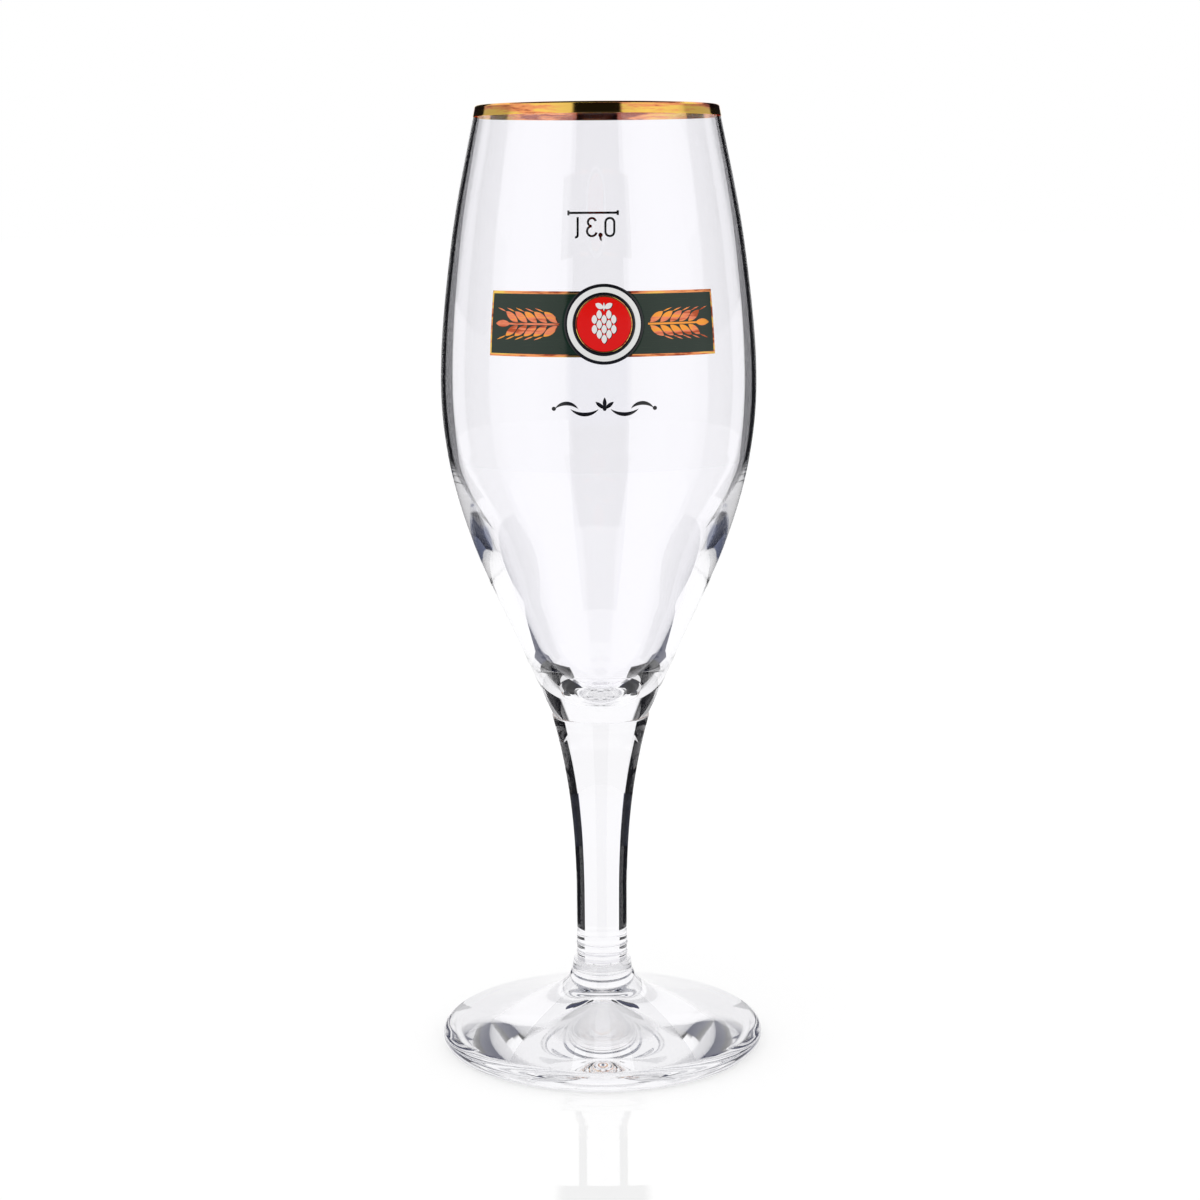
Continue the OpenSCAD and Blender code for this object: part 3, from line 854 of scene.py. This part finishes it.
@dataclass
class Medallion:
    """Round medallion: black, white and black rings, a gold line and a red field with a hop cone."""

    wall: Wall
    middle: float
    radius: float
    outer_ring: float = 0.7 * MM
    white_ring: float = 1.15 * MM
    inner_ring: float = 0.7 * MM
    field_line: float = 0.3 * MM
    scale_length: float = 1.95 * MM
    scale_width: float = 1.15 * MM
    scale_gap: float = 0.16 * MM
    cone_rows: tuple[int, ...] = (1, 2, 3, 2, 3, 2)
    leaf_turn: float = 58
    shade: Pair = (0.14 * MM, -0.1 * MM)
    shade_crown: float = 0.35

    def ring(self, inner: float, outer: float) -> Shell:
        """One ring between two radii."""
        return self.wall.drawing(ring_between(inner, outer), self.middle, close=True)

    def cone(self) -> list[Drawing]:
        """Scales of the hop cone in rows, with two leaves and a short stalk over them."""
        pitch = (self.scale_length + self.scale_gap) / 2
        arc_radius = (self.scale_length**2 + self.scale_width**2) / (4 * self.scale_width)
        half = math.sqrt(arc_radius**2 - (pitch / 2)**2) - arc_radius + self.scale_width / 2
        side_pitch = 4 * half + 2 * self.scale_gap
        drop = len(self.cone_rows) / 2 * pitch
        scale = leaf(self.scale_length, self.scale_width)
        drawings = [turned(scale, 0, ((k - (count - 1) / 2) * side_pitch, row * pitch - drop))
                    for row, count in enumerate(self.cone_rows) for k in range(count)]
        raised = scale[0], scale[1] + self.scale_width
        drawings += [turned(raised, -side.value * self.leaf_turn, (0, drop + self.scale_gap)) for side in Side]
        x, y = leaf(self.scale_length, self.scale_width / 3)
        return [*drawings, (x, y + drop + self.scale_width / 2)]

    def build(self) -> None:
        """Builds the rings, the field and the cone with the dark edge printed under it."""
        wall = self.wall
        white = self.radius - self.outer_ring
        inner = white - self.white_ring
        gold = inner - self.inner_ring
        field_radius = gold - self.field_line
        wall.fire("medallion_rings", Slot.BLACK_ENAMEL, [self.ring(white, self.radius), self.ring(gold, inner)])
        wall.fire("medallion_white_ring", Slot.WHITE_ENAMEL, [self.ring(inner, white)])
        wall.fire("medallion_line", Slot.GOLD, [self.ring(field_radius, gold)])
        disc = ring_between(0, field_radius, across=16)
        even = np.ones(disc[0].shape)
        wall.fire("medallion_field", Slot.RED_ENAMEL, [wall.drawing(disc, self.middle, close=True, crown=even)])
        cone = [wall.drawing(d, self.middle, layer=1, crown=LEAF_CROWN) for d in self.cone()]
        wall.fire("hop_cone", Slot.WHITE_ENAMEL, cone)
        crown = self.shade_crown * LEAF_CROWN
        shade = [wall.drawing((x + self.shade[0], y + self.shade[1]), self.middle, layer=1, crown=crown)
                 for x, y in self.cone()]
        wall.fire("hop_cone_shade", Slot.BLACK_ENAMEL, shade, False)


@dataclass
class BarleyEar:
    """Ear of barley in copper-coloured gold: pairs of domed grains with bristles on a stalk."""

    wall: Wall
    middle: float
    grain_length: float = 3.9 * MM
    grain_width: float = 1.5 * MM
    pitch: float = 2.35 * MM
    pairs: int = 5
    gap: float = 0.15 * MM
    bristle_length: float = 2.6 * MM
    bristle_width: float = 0.26 * MM
    stalk: float = 0.4 * MM
    angle: float = 28.2
    grain_turn: float = 36
    bristle_turn: float = 20
    bristle_over_share: float = 0.06

    @property
    def length(self) -> float:
        """Length of the ear."""
        return self.pairs * self.pitch + self.grain_length

    def lying(self, length: float, width: float, at: float) -> Drawing:
        """A leaf along +x with its middle at a place on it."""
        return turned(leaf(length, width), -90, (at, 0))

    def drawings(self) -> list[Drawing]:
        """The pairs of grains and bristles along +x, and the grain at the tip."""
        grain = self.lying(self.grain_length, self.grain_width, self.grain_length / 2)
        bristle = self.lying(self.bristle_length, self.bristle_width,
                             self.bristle_length * (1 / 2 - self.bristle_over_share))
        bristle = turned(bristle, self.bristle_turn - self.grain_turn, (self.grain_length, 0))
        found = []
        for i in range(self.pairs):
            start = i * self.pitch + self.stalk - self.length / 2
            for part in (grain, bristle):
                x, y = turned(part, self.grain_turn, (start, self.stalk / 2 + self.gap))
                found += [(x, y), (x, -y)]
        return [*found, self.lying(self.grain_length, self.grain_width, (self.length - self.grain_length) / 2)]

    def build(self) -> None:
        """Builds the left and the right ear on their stalks, the tips outwards."""
        end = self.length / 2 - self.grain_length + self.stalk
        stalk = stroke(line((-self.length / 2, 0), (end, 0), 40), self.stalk)
        parts = [*((x, y, LEAF_CROWN) for x, y in self.drawings()), (*stalk, None)]
        for side in Side:
            turn = side.value * self.angle
            shells = [self.wall.drawing((side.value * x, y), self.middle, turn, 1, crown=crown)
                      for x, y, crown in parts]
            self.wall.fire(f"barley_ear_{side.name.lower()}", Slot.COPPER_GOLD, shells)


@dataclass
class Flourish:
    """Black ornament under the band: three leaves and a dot in the middle, crescents and end dots."""

    wall: Wall
    height: float = 155.9 * MM
    width: float = 23 * MM
    thickness: float = 0.85 * MM
    leaf_share: float = 0.11
    inner_share: float = 0.27
    outer_share: float = 0.22
    rise_share: float = 0.07
    start_share: float = 0.72
    dot_share: float = 0.04
    leaf_turn: float = 52

    def crescent(self, width: float, rise: float) -> Drawing:
        """Crescent between two arcs over one chord, y = sqrt(R^2 - x^2) - R + rise for each."""
        x = width / 2 * np.sin(np.linspace(-np.pi / 2, np.pi / 2, 41))
        paths = []
        for top in (rise - self.thickness, rise):
            radius = ((width / 2)**2 + top**2) / (2 * top)
            paths.append(np.column_stack((x, np.sqrt(radius**2 - x**2) - radius + top)))
        return ruled(*paths)

    def build(self) -> None:
        """Builds the ornament."""
        length, inner, outer, rise, end_dot = (s * self.width for s in (
            self.leaf_share, self.inner_share, self.outer_share, self.rise_share, self.dot_share))
        put, turn = self.wall.drawing, self.leaf_turn
        x, y = leaf(length, self.thickness)
        shells = [put(turned((x, y + length / 2), t), self.height, crown=LEAF_CROWN) for t in (-turn, 0, turn)]
        shells.append(put(dot(self.thickness / 2), self.height, close=True))
        for side in Side:
            x, y = self.crescent(inner, rise)
            shells.append(put((side.value * (x + length / 2 + inner / 2), -y), self.height))
            x, y = self.crescent(outer, rise)
            start = length / 2 + inner * self.start_share
            shells.append(put((side.value * (x + start + outer / 2), y), self.height))
            at = (side.value * (self.width - end_dot) / 2, 0)
            shells.append(put(dot(end_dot / 2, at), self.height, close=True))
        self.wall.fire("flourish", Slot.BLACK_ENAMEL, shells)


@dataclass
class FillMark:
    """Fill line with ticks at its ends, and the plain numerals under it, on the back."""

    wall: Wall
    line_length: float = 12.8 * MM
    width: float = 0.55 * MM
    numeral_height: float = 4.9 * MM
    numeral_gap: float = 1 * MM
    tick_strokes: float = 2.1
    turn: float = 180
    zero_share: float = 0.56
    three_share: float = 0.2
    hook_share: float = 0.12
    comma_share: float = 0.16
    comma_turn: float = 18
    place_shares: tuple[float, ...] = (-0.85, -0.38, 0.06, 0.78)

    @property
    def height(self) -> float:
        """Height of the fill line."""
        low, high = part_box("fill_line")
        return (low.z + high.z) / 2

    def line(self) -> list[Drawing]:
        """The line and its two ticks."""
        end, tick = (self.line_length - self.width) / 2, self.tick_strokes * self.width / 2
        return [stroke(line((-end - self.width / 2, 0), (end + self.width / 2, 0), 60), self.width),
                *(stroke(line((s.value * end, -tick), (s.value * end, tick), 9), self.width) for s in Side)]

    def zero(self, at: float) -> Drawing:
        """Upright loop: two half circles joined by straight sides, as a ring between two paths."""
        h, w = self.numeral_height, self.zero_share * self.numeral_height
        rise = (h - w) / 2
        paths = [np.vstack((arc((0, rise), radius, 0, 180, 33), arc((0, -rise), radius, 180, 360, 33)))
                 for radius in (w / 2 - self.width, w / 2)]
        x, y = ruled(*paths)
        return x + at, y

    def strokes(self, comma: float, three: float, litre: float) -> list[Drawing]:
        """The three, the upright stroke with its hook and the comma's tail."""
        h, w = self.numeral_height, self.width
        upper = self.three_share * h
        lower = h / 2 - w / 2 - upper
        drop, hook = self.comma_share * h, self.hook_share * h
        paths = (arc((three, h / 2 - upper - w / 2), upper, 165, -90, 40),
                 arc((three, lower + w / 2 - h / 2), lower, 90, -165, 40),
                 np.vstack((line((litre, h / 2), (litre, hook - h / 2), 30),
                            arc((litre + hook, hook - h / 2), hook, 180, 280, 14)[1:])))
        x, y = turned(leaf(2 * drop, w), -self.comma_turn)
        return [*(stroke(path, w) for path in paths), (x + comma, y + w - h / 2 - drop)]

    def build(self) -> None:
        """Builds the line and the numerals."""
        put, h = self.wall.drawing, self.numeral_height
        self.wall.fire("fill_line", Slot.BLACK_ENAMEL, [put(d, self.height, self.turn) for d in self.line()])
        middle = self.height - self.numeral_gap - h / 2
        zero, comma, three, litre = (s * h for s in self.place_shares)
        closed = (self.zero(zero), dot(self.width, (comma, self.width - h / 2)))
        shells = [*(put(d, middle, self.turn, close=True) for d in closed),
                  *(put(d, middle, self.turn) for d in self.strokes(comma, three, litre))]
        self.wall.fire("fill_numerals", Slot.BLACK_ENAMEL, shells)


# Studio


BLACK = (0.01, 0.01, 0.012)
SLATE = (0.15, 0.17, 0.25)
DUSK = (0.028, 0.03, 0.04)
NAVY = (0.045, 0.05, 0.095)
WHITE = (1.0, 1.0, 1.0)
UNSEEN = ("camera", "diffuse", "shadow")
WHITE_FOR = ("Is Camera Ray", "Is Glossy Ray", "Is Transmission Ray")


def grey(light: float) -> Colour:
    """A light of no colour."""
    return light, light, light


def even(light: Colour) -> tuple[Stop, ...]:
    """The same light at every angle."""
    return (0, light), (180, light)


def seen(shader: Shader) -> Wire:
    """1 for the rays that see the surroundings white, else 0."""
    rays = [shader.node("ShaderNodeLightPath", {}, {}, kind) for kind in WHITE_FOR]
    return sum(rays[1:], rays[0]).clamp()


def stage_part(name: str, points: Array | list, faces: Array | list, material: Material,
               unseen: Sequence[str] = (), camera: Object | None = None) -> bpy.types.Mesh:
    """Puts up a part of the stage.

    Args:
        name: Name of the part.
        points: Its points.
        faces: Its faces.
        material: Its material.
        unseen: Kinds of ray that pass it by.
        camera: The camera that it turns round the glass with, if it does.

    Returns:
        Its mesh.
    """
    mesh = bpy.data.meshes.new(name)
    mesh.from_pydata(points, [], faces)
    mesh.materials.append(material)
    part = bpy.data.objects.new(name, mesh)
    for kind in unseen:
        setattr(part, f"visible_{kind}", False)
    bpy.context.scene.collection.objects.link(part)
    if camera:
        turn = part.constraints.new("LOCKED_TRACK")
        turn.target, turn.track_axis, turn.lock_axis = camera, "TRACK_NEGATIVE_Y", "LOCK_Z"
    return mesh


def circle(radius: float, height: float, count: int) -> tuple[Array, list[list[int]]]:
    """Points and the one face of a flat disc."""
    a = np.linspace(0, 2 * np.pi, count, endpoint=False)
    return np.column_stack((radius * np.cos(a), radius * np.sin(a), 0 * a + height)), [list(range(count))]


@dataclass(frozen=True)
class Screen:
    """Upright part of a cylinder round the glass, which only reflections and refractions see.

    Args:
        name: Name of the object.
        radius: Distance from the glass's axis.
        low: Height of the lower edge.
        high: Height of the upper edge.
        stops: Pairs of an angle from the camera's direction, in degrees, and the light there.
        first: Angle where the screen starts at its lower edge.
        last: Angle where it ends.
        lean: How much later it starts at its upper edge.
        mirrored: Whether polished surfaces reflect it.
    """

    name: str
    radius: float
    low: float
    high: float
    stops: tuple[Stop, ...]
    first: float = 0
    last: float = 180
    lean: float = 0
    mirrored: bool = True

    def material(self) -> Material:
        """Emission by the angle that the mesh carries."""
        shader = Shader(self.name)
        turn = shader.node("ShaderNodeAttribute", {"attribute_name": "turn"}, {}, "Fac")
        stops = [(angle / 180, light) for angle, light in self.stops]
        return shader.light(shader.node("ShaderNodeValToRGB", {"stops": stops}, {0: turn}))

    def build(self, side: Side, camera: Object) -> None:
        """Builds the screen of one side, on a grid of (R sin a, -R cos a, z).

        Args:
            side: Side of the glass.
            camera: The camera that it turns round the glass with.
        """
        share = np.linspace(0, 1, 181)[None, :]
        z = np.linspace(self.low, self.high, 12)[:, None]
        first = self.first + self.lean * (z - self.low) / (self.high - self.low)
        a = np.radians(first + (self.last - first) * share) * side.value
        points = np.stack((self.radius * np.sin(a), -self.radius * np.cos(a), z + 0 * a), -1)
        mesh = stage_part(f"{self.name}_{side.name.lower()}", points.reshape(-1, 3), grid_quads(*a.shape),
                          self.material(), UNSEEN if self.mirrored else (*UNSEEN, "glossy"), camera)
        turn = (np.abs(a) / np.pi).ravel().astype(np.float32)
        mesh.attributes.new("turn", "FLOAT", "POINT").data.foreach_set("value", turn)


@dataclass
class Studio:
    """Camera, pale floor, white surroundings and screens that turn round the glass with the camera."""

    distance: float = 0.5664
    eye_height: float = 0.20195
    pitch: float = 9.45
    roll: float = -0.35
    azimuth: float = 2
    lens: float = 73.07
    bounces: int = 128
    gap_angle: float = 21.5
    tent_radius: float = 0.8
    tent_edges: tuple[float, ...] = (0, 0.21, 0.3, 0.5, 0.9)
    lights: tuple[Stop, ...] = ((24, grey(0.8)), (48, grey(0.95)), (80, grey(0.9)), (87, grey(0.75)))
    flanks: tuple[Stop, ...] = ((91, grey(0.5)), (128, grey(0.5)))
    cards: tuple[Screen, ...] = (
        Screen("low_card", 0.09, 0, 0.02, even(BLACK), 84, 150),
        Screen("far_card", 0.09, 0.02, 0.055, even(NAVY), 84, 150, mirrored=False),
        Screen("stem_card", 0.03, 0.034, 0.077, even(BLACK), 84, 155),
        Screen("bowl_card", 0.09, 0.085, 0.27, even(BLACK), 106, 148, 14))
    cloth_start: float = 0.09
    cloth_height: float = 0.05 * MM
    floor_radius: float = 12
    floor_shade: float = 0.48
    floor_glow: float = 0.6
    sheen: float = 0.13
    sheen_width: float = 22 * MM
    sheen_reach: Pair = (-0.17, -0.02)
    ceiling_radius: float = 0.7
    world_light: float = 0.85
    lamp_place: tuple[float, ...] = (-0.25, -0.35, 1.1)
    lamp_aim: tuple[float, ...] = (0, 0, 0.1)
    lamp_size: float = 0.9
    lamp_power: float = 0.8

    def screens(self) -> list[Screen]:
        """The four parts of the tent, from the floor up, and the dark cards beside the glass."""
        low_front, high_front = (((0, gap), (self.gap_angle, gap), *self.lights) for gap in (SLATE, BLACK))
        tents = {
            "base_tent": (*low_front, (138, grey(0.8)), (141, WHITE)),
            "low_tent": (*low_front, *self.flanks, (131, DUSK), (138, DUSK), (141, WHITE)),
            "high_tent": (*high_front, *self.flanks, (131, BLACK), (144.5, BLACK), (147.5, WHITE)),
            "top_tent": (*high_front, (91, WHITE)),
        }
        edges = zip(self.tent_edges, self.tent_edges[1:])
        return [*(Screen(name, self.tent_radius, *edge, stops) for (name, stops), edge in zip(tents.items(), edges)),
                *self.cards]

    def camera(self) -> Object:
        """Camera at the photograph's viewing angle."""
        data = bpy.data.cameras.new("camera")
        data.lens = self.lens
        data.sensor_width = 36
        data.clip_start, data.clip_end = 0.01, 50
        camera = bpy.data.objects.new("camera", data)
        bpy.context.scene.collection.objects.link(camera)
        camera.matrix_world = (Matrix.Rotation(-math.radians(self.azimuth), 4, "Z")
                               @ Matrix.Translation((0, -self.distance, self.eye_height))
                               @ Matrix.Rotation(math.radians(90 - self.pitch), 4, "X")
                               @ Matrix.Rotation(math.radians(self.roll), 4, "Z"))
        bpy.context.scene.camera = camera
        return camera

    def floor(self) -> None:
        """Pale floor, topped up to white for the eye alone."""
        shader = Shader("pale_floor")
        eye = seen(shader)
        pale = shader.node("ShaderNodeBsdfDiffuse", {}, {"Color": shader.mix(eye, grey(0.8), grey(self.floor_shade))})
        glow = shader.node("ShaderNodeEmission", {}, {"Strength": eye * self.floor_glow})
        material = shader.end(shader.node("ShaderNodeAddShader", {}, {0: pale, 1: glow}))
        stage_part("floor", *circle(self.floor_radius, -0.01 * MM, 96), material)

    def cloth(self, camera: Object) -> None:
        """Black cloth on the floor before the glass, which only reflections and refractions see."""
        a = np.radians(np.linspace(-self.gap_angle, self.gap_angle, 17))[None, :]
        r = np.array([[self.cloth_start], [self.tent_radius]])
        points = np.stack((r * np.sin(a), -r * np.cos(a), self.cloth_height + 0 * r * a), -1).reshape(-1, 3)
        stage_part("floor_card", points, grid_quads(2, a.size), Shader("floor_card").light((*BLACK, 1)), UNSEEN, camera)

    def floor_mirror(self, camera: Object) -> None:
        """Strip of polish on the floor that mirrors the stem faintly, seen by the camera alone."""
        half, z = self.sheen_width / 2, -0.005 * MM
        near, far = self.sheen_reach
        shader = Shader("floor_mirror")
        across = shader.node("ShaderNodeSeparateXYZ", {}, {0: shader.place()})
        factor = self.sheen * (1 - across.math("ABSOLUTE", across).above(0.7 * half, half))
        clear = shader.node("ShaderNodeBsdfTransparent", {}, {})
        polish = shader.node("ShaderNodeBsdfGlossy", {}, {"Color": (1, 1, 1, 1), "Roughness": 0.03})
        material = shader.end(shader.node("ShaderNodeMixShader", {}, {0: factor, 1: clear, 2: polish}))
        stage_part("floor_mirror", [(-half, near, z), (half, near, z), (half, far, z), (-half, far, z)],
                   [(0, 1, 2, 3)], material, ("glossy", "transmission", "diffuse", "shadow"), camera)

    def ceiling(self) -> None:
        """Black ceiling, which only reflections see."""
        stage_part("ceiling", *circle(self.ceiling_radius, self.tent_edges[-1], 48),
                   Shader("ceiling").light((*BLACK, 1)), (*UNSEEN, "transmission"))

    def world(self) -> None:
        """White surroundings for the eye, a plain soft light for everything else."""
        world = bpy.data.worlds.new("studio")
        bpy.context.scene.world = world
        world.use_nodes = True
        shader = Shader("studio", world.node_tree)
        strength = self.world_light + seen(shader) * (1 - self.world_light)
        shader.end(shader.node("ShaderNodeBackground", {}, {"Color": (1, 1, 1, 1), "Strength": strength}),
                   "ShaderNodeOutputWorld")

    def lamp(self) -> None:
        """One large soft lamp over the glass."""
        data = bpy.data.lights.new("overhead", "AREA")
        data.shape = "DISK"
        data.size = self.lamp_size
        data.energy = self.lamp_power
        lamp = bpy.data.objects.new("overhead", data)
        lamp.location = self.lamp_place
        lamp.rotation_euler = (Vector(self.lamp_aim) - lamp.location).to_track_quat("-Z", "Y").to_euler()
        lamp.visible_glossy = lamp.visible_transmission = False
        bpy.context.scene.collection.objects.link(lamp)

    def build(self) -> None:
        """Sets the stage."""
        scene = bpy.context.scene
        scene.view_settings.view_transform = "Standard"
        scene.cycles.max_bounces = scene.cycles.transmission_bounces = scene.cycles.glossy_bounces = self.bounces
        scene.cycles.transparent_max_bounces = 24
        camera = self.camera()
        for screen in self.screens():
            for side in Side:
                screen.build(side, camera)
        self.floor()
        self.cloth(camera)
        self.floor_mirror(camera)
        self.ceiling()
        self.world()
        self.lamp()


def main() -> None:
    """Builds the studio and every piece in order."""
    logging.basicConfig(level=logging.INFO, format="%(name)s %(message)s")
    Studio().build()
    glass = GlassBody(Maker())
    glass.bowl()
    glass.stem()
    glass.foot()
    wall = Wall(glass.shape, glass.maker)
    low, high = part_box("medallion_rings")
    radius, middle = (high.z - low.z) / 2, (high.z + low.z) / 2
    for part in (GoldRim(wall), Band(wall, radius), Medallion(wall, middle, radius), BarleyEar(wall, middle),
                 Flourish(wall), FillMark(wall)):
        part.build()

if __name__ == "__main__":
    main()
